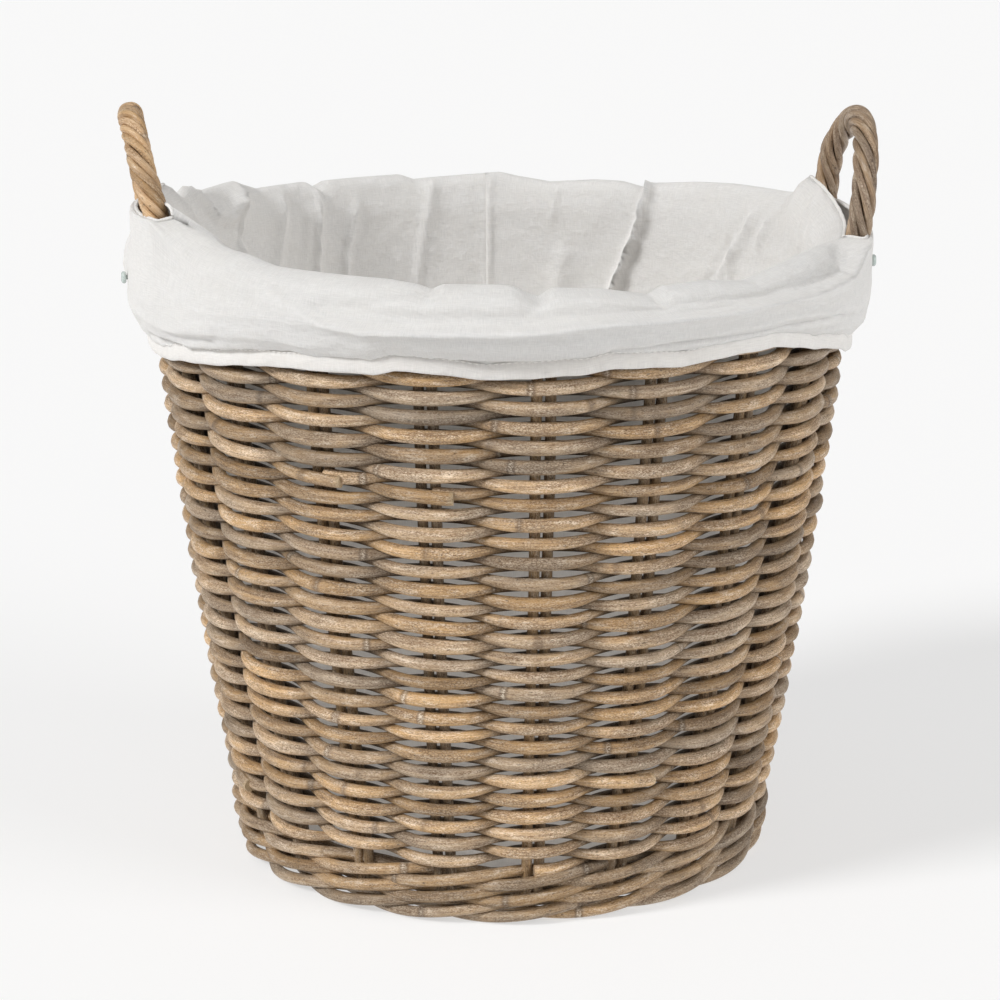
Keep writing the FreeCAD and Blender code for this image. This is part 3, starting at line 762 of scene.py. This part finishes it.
# %% Crease the cuff and the inside
long_fold = [
    (-35, 440), (-25, 428), (-16, 426.5), (0, 427.5), (11, 430.5), (22, 431.5), (35, 432.4), (51, 433.2),
    (64, 434), (74, 441),
]
push += crease(long_fold, 4.2, 6, sharp=False)
push += crease([(d, z + 9) for d, z in long_fold[1:]], -6.5, 9, sharp=False)
push += crease(long_fold[1:], 3.0, 2.0)
low_fold = [
    (-71, 390), (-63, 391), (-50, 394), (-42, 400), (-34, 401), (-24, 403.0), (-13, 405), (0, 407), (15, 411),
]
push += crease(low_fold, -5.2, 2.8)
push += crease([(d, z + 3.5) for d, z in low_fold], 1.8, 2.5)
push += crease([(15, 411.5), (27, 414), (43, 414), (56, 412), (66, 408)], -4.2, 3.2)
push += crease([(20, 417), (35, 421), (50, 421), (58, 417)], 1.6, 4, sharp=False)
push += crease([(-75, 384), (-62, 387), (-52, 399), (-44, 404)], 2.0, 4)
push += crease([(-48, 411), (-36, 413), (-28, 411)], 1.6, 3)
push += crease([(60, 402), (72, 404), (84, 400)], -2.4, 4)
push += crease([(56, 396), (70, 398), (86, 388)], 2.0, 4)
push += crease([(50, 443), (60, 446), (68, 443)], 1.8, 5, sharp=False)
push += crease([(5.9, 450), (3.5, 438), (1, 432)], -2.4, 4)
push += crease([(24.1, 448), (30, 440), (36, 436)], -2.2, 5, sharp=False)
push += crease([(-10.8, 450), (-20, 441), (-27, 437)], -2.0, 5, sharp=False)
inside_creases = (
    ([(181.7, 450), (182.3, 408), (183, 330), (183, 60)], 1.2, 3.0),
    ([(184.4, 450), (185, 330), (185, 60)], -1.4, 3),
    ([(226.8, 440), (231, 395), (236, 300)], 3.2, 6),
    ([(223.5, 440), (226, 395), (229, 300)], -2.5, 7),
    ([(217.8, 446), (219.6, 402), (222, 330)], 3.4, 3.2),
    ([(209.4, 434), (212.8, 398), (214, 350)], 2.4, 3),
    ([(193.6, 446), (197.2, 381), (201, 300)], 2.6, 4),
    ([(168.5, 446), (169.5, 420)], 1.8, 3),
    ([(149.4, 447), (150.4, 420), (155.8, 367), (160, 300)], 9.0, 3.6),
    ([(153, 445), (154.5, 418), (160.5, 367), (165, 300)], -3.5, 7),
    ([(124.6, 432), (133.2, 382), (136, 350)], -3.4, 3),
    ([(122.2, 434), (130, 385)], 3.2, 5),
    ([(126.5, 421), (126.9, 370)], 2.4, 3),
    ([(107.2, 454), (117.6, 441), (121.7, 420)], -3.4, 3),
    ([(108.5, 449), (116, 436), (119, 420)], 3.0, 5),
    ([(256.7, 452), (248.6, 438), (243.5, 436), (238.5, 445)], 6.0, 5),
    ([(251, 436), (246, 428), (241, 424)], -5.0, 7),
    ([(262, 446), (257, 425), (252, 405)], 3.4, 4),
    ([(268, 448), (262, 420), (258, 395)], 3.0, 4),
    ([(240, 440), (241, 420), (243, 380)], 4.5, 4),
    ([(104, 462), (101, 446), (99, 420)], 2.6, 5),
    ([(96, 455), (92, 430), (90, 400)], 2.2, 5),
)
for points, deep, wide in inside_creases:
    push += crease(points, 1.7 * deep, 0.85 * wide, outer=False)

# %% Draw the cuff in beside the handles
side_pull = np.where(np.sin(turn) < 0, 3.6, 1.2) * np.sin(turn) ** 2
base_radius -= side_pull[:, None] * np.sin(np.pi * np.clip((cuff_share - 0.2) / 0.8, 0, 1))

# %% Add the folds that nobody placed
rng = np.random.default_rng(83)
for n in range(30):
    degrees, high, low = rng.uniform(0, 360), rng.uniform(300, 446), rng.uniform(60, 290)
    halfway = (degrees + rng.uniform(-6, 6), (high + low) / 2)
    line = [(degrees, high), halfway, (degrees + rng.uniform(-9, 9), low)]
    push += crease(line, rng.uniform(1.0, 4.5), rng.uniform(4, 10), outer=False, sharp=rng.random() < 0.5)
for n in range(46):
    degrees, high = rng.uniform(85, 300), rng.uniform(388, 446)
    halfway = (degrees + rng.uniform(8, 22), high + rng.uniform(-7, 7))
    line = [(degrees, high), halfway, (degrees + rng.uniform(24, 48), high + rng.uniform(-9, 9))]
    push += crease(line, rng.uniform(-2.2, 3.0), rng.uniform(3, 8), sharp=rng.random() < 0.4)
for n in range(26):
    degrees, high = rng.uniform(-80, 80), rng.uniform(400, 446)
    line = [(degrees, high), (degrees + rng.uniform(5, 14), high + rng.uniform(-6, 6))]
    push += crease(line, rng.uniform(-0.9, 1.2), rng.uniform(3, 7), sharp=False)
swell = 1.6 * np.sin(3 * turn + 1.0) + 1.2 * np.sin(7 * turn + 2.2) + 0.8 * np.sin(13 * turn + 0.4)
push += swell[:, None] * np.clip((rows_at - crest_at - 15) / 30, 0, 1)[None, :] * (1 - cuff_share ** 4)
gather = 0.25 * np.sin(95 * turn + 2 * np.sin(7 * turn)) + 0.15 * np.sin(141 * turn + 3 * np.sin(5 * turn))
push += gather[:, None] * np.clip((cuff_share - 0.72) / 0.28, 0, 1) ** 1.5
inside_limits, outside_limits = (-0.6, 15), (-5.0, 9)
push = np.where(rows_at[None, :] < crest_at, np.clip(push, *inside_limits), np.clip(push, *outside_limits))
push *= np.clip(rows_at / 20, 0, 1)[None, :]

# %% Raise the fold, and tent it at the handles
radius = base_radius + push * out_radius
height = base_height + push * out_height
crest_lift = ring_value(crest_heights, turn) - crest_height
reach_in = np.where(rows_at < crest_at, 20, 30)[None, :]
height += crest_lift[:, None] * np.exp(-(((rows_at[None, :] - crest_at) / reach_in) ** 2))
slit_half = math.radians(16.4)
shelf_level = 452.0


def from_handle(side):
    """The angle of each column from the handle on side 1 (right) or -1 (left)."""
    return (turn - side * handle_turn + np.pi) % (2 * np.pi) - np.pi


slit_rows = (np.searchsorted(rows_at, crest_at - 8.0), np.searchsorted(rows_at, crest_at + 14.0))
open_cells = np.zeros((columns, len(rows_at) - 1), bool)
for side, near_lift, far_lift, outer_far in ((1, 1.5, 18.5, 10.0), (-1, 26.0, 15.0, 19.0)):
    offset = from_handle(side)
    inside_slit = np.abs(offset) < slit_half
    share = np.clip(side * offset / slit_half * 0.5 + 0.5, 0, 1)
    lift = near_lift + (far_lift - near_lift) * share ** 1.3
    outer_lift = near_lift + (outer_far - near_lift) * share
    inner_row = np.clip((crest_at + 8 - rows_at) / 14, 0, 1)[None, :]
    lift = outer_lift[:, None] + (lift - outer_lift)[:, None] * inner_row
    beyond = np.maximum(np.abs(offset) - slit_half, 0) * flat_radius
    fade = np.exp(-beyond / np.where(side * offset > 0, 12, 26))
    low_row, high_row = rows_at[slit_rows[0]], rows_at[slit_rows[1]]
    below_inside = np.maximum(low_row - rows_at, 0) / 30
    below_outside = np.maximum(rows_at - high_row - 6, 0) / 14
    below = np.where(rows_at < crest_at, below_inside, below_outside)
    close = fade[:, None] * np.exp(-(below ** 1.6))[None, :]
    shelf = shelf_level + lift - 0.10 * np.maximum(base_radius - 235, 0)
    rows_up = np.where((rows_at > low_row)[None, :], shelf, height + lift)
    height += close * (rows_up - height)
    hug = np.exp(-(beyond / 14))[:, None] * np.exp(-(below ** 1.2))[None, :]
    lean_out = 2.5 + 0.17 * lift
    lip = hug * np.exp(-((np.maximum(low_row - rows_at, 0) / 9) ** 2))[None, :]
    near_reach, less_behind = (11.0, 7.5) if side > 0 else (14.0, 10.0)
    reach = near_reach - less_behind * share[:, None]
    outer_reach = 7.0 - 14.0 * share[:, None]
    inner, outer = (lean_out + reach) * lip, (lean_out + outer_reach) * hug
    radius += np.where((rows_at < crest_at)[None, :], inner, outer)
    corner = np.exp(-(((rows_at - high_row - 14) / 16) ** 2))
    radius += 0.8 * (np.exp(-((beyond / 45) ** 1.5))[:, None] * corner[None, :])
    open_cells[inside_slit, slit_rows[0]:slit_rows[1]] = True
print("slit rows", slit_rows, "open cells", int(open_cells.sum()))

# %% [markdown]
# ## Cotton
# Unbleached cotton is a plain weave of slightly uneven threads. Each thread is too thin to model,
# so two stretched noises, one along the warp and one along the weft, vary its colour and raise a
# fine bump, and a softer noise adds the small crumples between the modelled folds. Thin cotton also
# lets light through. A faint painted glow stands for that on the lower part of the side that hangs
# behind the wickerwork, and on the bottom cloth and the stitches as well.

# %% Cotton finish


def cotton(name, tint):
    """Plain-woven cotton; its coordinate is where each point lay on the cut cloth, in metres."""
    made = bpy.data.materials.new(name)
    made.use_nodes = True
    tree = made.node_tree
    shader = tree.nodes["Principled BSDF"]
    where = put(tree, "Attribute", {"attribute_name": "flat"}).outputs["Vector"]
    weft = noise(tree, where, (110, 1900, 1), 2, 0.6)
    warp = noise(tree, where, (1900, 110, 1), 2, 0.6)
    crumple = noise(tree, where, (55, 70, 1), 4, 0.55)
    dent = noise(tree, where, (16, 24, 1), 2, 0.5)
    threads = put(tree, "Math", {"operation": "ADD"}, i0=weft, i1=warp)
    low = tuple(c * 0.86 for c in tint) + (1,)
    colour = blend(tree, ramp(tree, threads.outputs[0], 0.75, 1.25), low, tuple(tint) + (1,))
    creamy = (tint[0] * 0.93, tint[1] * 0.915, tint[2] * 0.88, 1)
    colour = blend(tree, ramp(tree, dent, 0.35, 0.7, 0.0, 0.25), colour, creamy)
    tree.links.new(colour, shader.inputs["Base Color"])
    down = put(tree, "SeparateXYZ", {}, Vector=where).outputs[1]
    # Painted glow: emission on the cloth's lower rows, fading out between 0.20 and 0.36 m up the cut cloth;
    # the bottom cloth and the stitches glow too.
    painted_glow = ramp(tree, down, 0.20, 0.36, 0.22, 0.0)
    tree.links.new(colour, shader.inputs["Emission Color"])
    tree.links.new(painted_glow, shader.inputs["Emission Strength"])
    shader.inputs["Roughness"].default_value = 0.92
    shader.inputs["Specular IOR Level"].default_value = 0.2
    shader.inputs["Subsurface Weight"].default_value = 0.55
    shader.inputs["Subsurface Radius"].default_value = (1.0, 0.95, 0.9)
    shader.inputs["Subsurface Scale"].default_value = 0.004
    shader.inputs["Sheen Weight"].default_value = 0.1
    shader.inputs["Sheen Roughness"].default_value = 0.5
    soft = put(tree, "Bump", {"Strength": 0.9, "Distance": 0.0026}, Height=crumple)
    wave = put(tree, "Bump", {"Strength": 0.4, "Distance": 0.004}, Height=dent, Normal=soft.outputs[0])
    thread_bump = {"Strength": 0.35, "Distance": 0.0002}
    weave = put(tree, "Bump", thread_bump, Height=threads.outputs[0], Normal=wave.outputs[0])
    tree.links.new(weave.outputs[0], shader.inputs["Normal"])
    return made


natural_cotton = cotton("cotton", (0.755, 0.735, 0.71))
print("cotton, warp and weft")

# %% Sew the side, fold and cuff
cloth_thick, lap_step = 0.8, 1.0


def cloth(name, points, faces, flat, thick, nodes):
    """A sheet of cotton with real thickness; flat is where each point lay on the cut cloth, mm."""
    mesh = bpy.data.meshes.new(name)
    mesh.from_pydata((points * MM).tolist(), [], faces)
    mesh.polygons.foreach_set("use_smooth", [True] * len(faces))
    where = mesh.attributes.new("flat", "FLOAT_VECTOR", "POINT")
    where.data.foreach_set("vector", (flat * MM).ravel())
    mesh.materials.append(natural_cotton)
    obj = bpy.data.objects.new(name, mesh)
    scene.collection.objects.link(obj)
    if thick:
        solid = obj.modifiers.new("thickness", "SOLIDIFY")
        solid.thickness, solid.offset = thick * MM, -1
        graph = bpy.context.evaluated_depsgraph_get()
        obj.data = bpy.data.meshes.new_from_object(obj.evaluated_get(graph))
        obj.modifiers.clear()
    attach(obj, "liner")
    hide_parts(*nodes)
    print(f"{name}: {len(obj.data.polygons)} faces")
    return obj


grid = around(turn[:, None], radius, height)
row_count = len(rows_at)
lap = grid[:2] - lap_step * around(turn[:2], 1.0, 0.0)[:, None, :]
sewn = np.concatenate([grid, lap])
faces = []
for i in range(columns + 1):
    for j in range(row_count - 1):
        if not open_cells[i % columns, j]:
            corner = i * row_count + j
            faces.append((corner, corner + 1, corner + row_count + 1, corner + row_count))
used = np.zeros(len(sewn) * row_count, bool)
used[np.array(faces).ravel()] = True
renumber = np.cumsum(used) - 1
faces = renumber[np.array(faces)].tolist()
flat_sewn = np.concatenate([flat_around, flat_around[:2] + whole_round])
flat = np.stack([flat_sewn, rows_at[None, :] + 0 * flat_sewn, 0 * flat_sewn], axis=2).reshape(-1, 3)
side_cloth = cloth("liner_side_and_cuff", sewn.reshape(-1, 3)[used], faces, flat[used], cloth_thick,
                   ["liner_side", "liner_crest", "liner_cuff"])

# %% Lay the bottom
rng = np.random.default_rng(89)
rings, spots = 34, 180
out = np.linspace(0, 1, rings + 1)[1:]
way = np.linspace(0, 2 * np.pi, spots, endpoint=False)
bottom_radius = radius[:, 0].mean() * out[None, :] + 0 * way[:, None]
low_level = height[:, 0].mean()
ripple = np.zeros_like(bottom_radius)
for n in range(14):
    heading, place_at, wide = rng.uniform(0, np.pi), rng.uniform(-120, 120), rng.uniform(5, 14)
    across = bottom_radius * np.cos(way[:, None] - heading) - place_at
    ripple += rng.uniform(0.6, 2.6) * np.exp(-((across / wide) ** 2))
level = low_level + ripple * (1 - out[None, :] ** 6) + 0.3
disc = around(way[:, None], bottom_radius, level).reshape(-1, 3)
points = np.concatenate([[[0, 0, level[:, 0].mean()]], disc])
faces = [(0, 1 + i * rings, 1 + ((i + 1) % spots) * rings) for i in range(spots)]
for i in range(spots):
    here, there = 1 + i * rings, 1 + ((i + 1) % spots) * rings
    faces += [(here + j, here + j + 1, there + j + 1, there + j) for j in range(rings - 1)]
bottom_cloth = cloth("liner_bottom_cloth", points, faces, points * [1, 1, 0], cloth_thick, ["liner_bottom"])

# %% [markdown]
# ## Casing, slits and buttons
# The cuff ends in a casing: the cloth is turned back over an elastic and stitched, so it gathers
# into small pleats. The slits for the handles have a narrow turned edge, and a small button on each
# side fastens the cuff below its handle. The elastic is a flat band inside the casing.

# %% Casing round the elastic


def soft_tube(name, line, wide, tall, up, sides, nodes):
    """A round of turned-over cloth, as one closed tube."""
    count = len(line)
    wide, tall = np.append(wide, wide[:2]), np.append(tall, tall[:2])
    made = rod(np.concatenate([line, line[:2]]), wide, tall, up, (0, 0, 0, 0), sides)
    points = made["points"].reshape(count + 2, sides, 3)
    points[0] = points[count]
    i, j = np.meshgrid(np.arange(count), np.arange(sides), indexing="ij")
    k, m = (i + 1) % count, (j + 1) % sides
    corners = [i * sides + j, k * sides + j, k * sides + m, i * sides + m]
    faces = np.stack(corners, axis=2).reshape(-1, 4)[:, ::-1]
    flat = made["grain"].reshape(count + 2, sides, 3)[:count, :, :].copy()
    flat[:, :, 1] = flat[:, :, 1] + flat[:, :, 2] + fine[-1]
    return cloth(name, points[:count].reshape(-1, 3), faces.tolist(), flat.reshape(-1, 3), 0, nodes)


pleat = 0.26 * np.sin(71 * turn + 4 * np.sin(7 * turn)) + 0.2 * np.sin(113 * turn + 5 * np.sin(5 * turn))
pleat = pleat * (0.6 + 0.4 * np.sin(3 * turn + 1))
wander = 0.9 * np.sin(11 * turn + 1) + 0.7 * np.sin(23 * turn + 2.5) + 0.4 * np.sin(47 * turn)
casing_line = around(turn, hem_out + 0.2 + 0.6 * wander, hem_low + casing / 2 + wander)
hem = soft_tube("hem_casing_cloth", casing_line, 1.7 + pleat, casing / 2 * (1 + 0.05 * wander + 0.03 * pleat),
                (0, 0, 1), 16, ["hem_casing"])

band_wide, band_tall = np.full(columns, 0.6), np.full(columns, 3.4)
elastic = soft_tube("elastic_band", casing_line, band_wide, band_tall, (0, 0, 1), 8, ["hem_elastic"])

# %% Turned edges of the slits
for side, name in ((1, "right"), (-1, "left")):
    offset = from_handle(side)
    where = np.where(np.abs(offset) < slit_half)[0]
    order = where[np.argsort(offset[where])]
    order = np.append(order, (order[-1] + 1) % columns)
    a, b = slit_rows
    far_side, near_side = grid[order[-1], a:b + 1][1:-1], grid[order[0], a:b + 1][::-1][1:-1]
    loop = np.concatenate([grid[order, a], far_side, grid[order[::-1], b], near_side])
    for _ in range(2):
        loop = (np.roll(loop, 1, 0) + 2 * loop + np.roll(loop, -1, 0)) / 4
    seam = 1.0 + 0.12 * np.sin(np.arange(len(loop)) * 1.3)
    soft_tube(f"slit_edge_{name}", loop, seam * 1.25, seam * 1.25, (0.3, 0.1, 0.9), 8, [])

# %% Stitches


def stitches(name, line, gap, long, thick):
    """A row of short threads along a closed line."""
    line = np.concatenate([line, line[:1]])
    along = length_along(line)
    rods = []
    for at in np.arange(0, along[-1] - long, gap):
        spots = np.array([at, at + long / 2, at + long])
        path = np.stack([np.interp(spots, along, line[:, k]) for k in range(3)], axis=1)
        girth = [thick * 0.5, thick, thick * 0.5]
        rods.append(rod(path, girth, girth, (0.2, 0.3, 0.9), (0, 0.5, 0, 0), 5))
    return piece(name, rods, natural_cotton, "liner", [])


stitch_line = around(turn, hem_out + 2.2 + 0.7 * wander, hem_low + casing - 1.0 + wander)
hem_stitches = stitches("hem_stitches", stitch_line, 4.2, 2.6, 0.32)

# %% Buttons
glaze = bpy.data.materials.new("button_plastic")
glaze.use_nodes = True
button_tree = glaze.node_tree
button_shader = button_tree.nodes["Principled BSDF"]
spot = put(button_tree, "TexCoord").outputs["Object"]
swirl = noise(button_tree, spot, (400, 400, 400), 3, 0.5)
button_colour = blend(button_tree, swirl, (0.42, 0.50, 0.48, 1), (0.60, 0.66, 0.63, 1))
button_tree.links.new(button_colour, button_shader.inputs["Base Color"])
button_shader.inputs["Roughness"].default_value = 0.25
button_shader.inputs["Coat Weight"].default_value = 0.4
turned_profile = [
    (0.01, 0.0), (1.45, 0.0), (1.5, 2.0), (3.4, 2.1), (4.1, 2.7), (4.25, 3.6), (4.0, 4.5), (3.4, 5.1),
    (2.7, 5.2), (2.2, 4.8), (0.01, 4.7),
]
for name in ("left_button", "right_button"):
    low, high = (1000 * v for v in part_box(name))
    side = 1 if low.x > 0 else -1
    centre = (low + high) / 2
    face = np.array([side * math.sin(handle_turn), -math.cos(handle_turn), 0])
    outer = max(abs(low.x), abs(high.x)) - 0.2
    facing = np.argmin(np.abs(from_handle(side)))
    fold = grid[facing, rows_at > crest_at]
    cloth_at = np.interp(-centre.z, -fold[:, 2], fold @ face)
    back = min(outer / math.sin(handle_turn) - 5.6, cloth_at - 1.2)
    print(name, "cloth at", round(cloth_at, 1), "button back at", round(back, 1))
    step = np.array(turned_profile)
    line = back * face + np.array([0, 0, centre.z]) + step[:, 1:] * face
    line = line + face * np.arange(len(step))[:, None] * 1e-4
    made = rod(line, step[:, 0], step[:, 0], (0, 0, 1), (0, 0.5, 0, 0), 28)
    piece(name + "_turned", [made], glaze, "liner", [name])
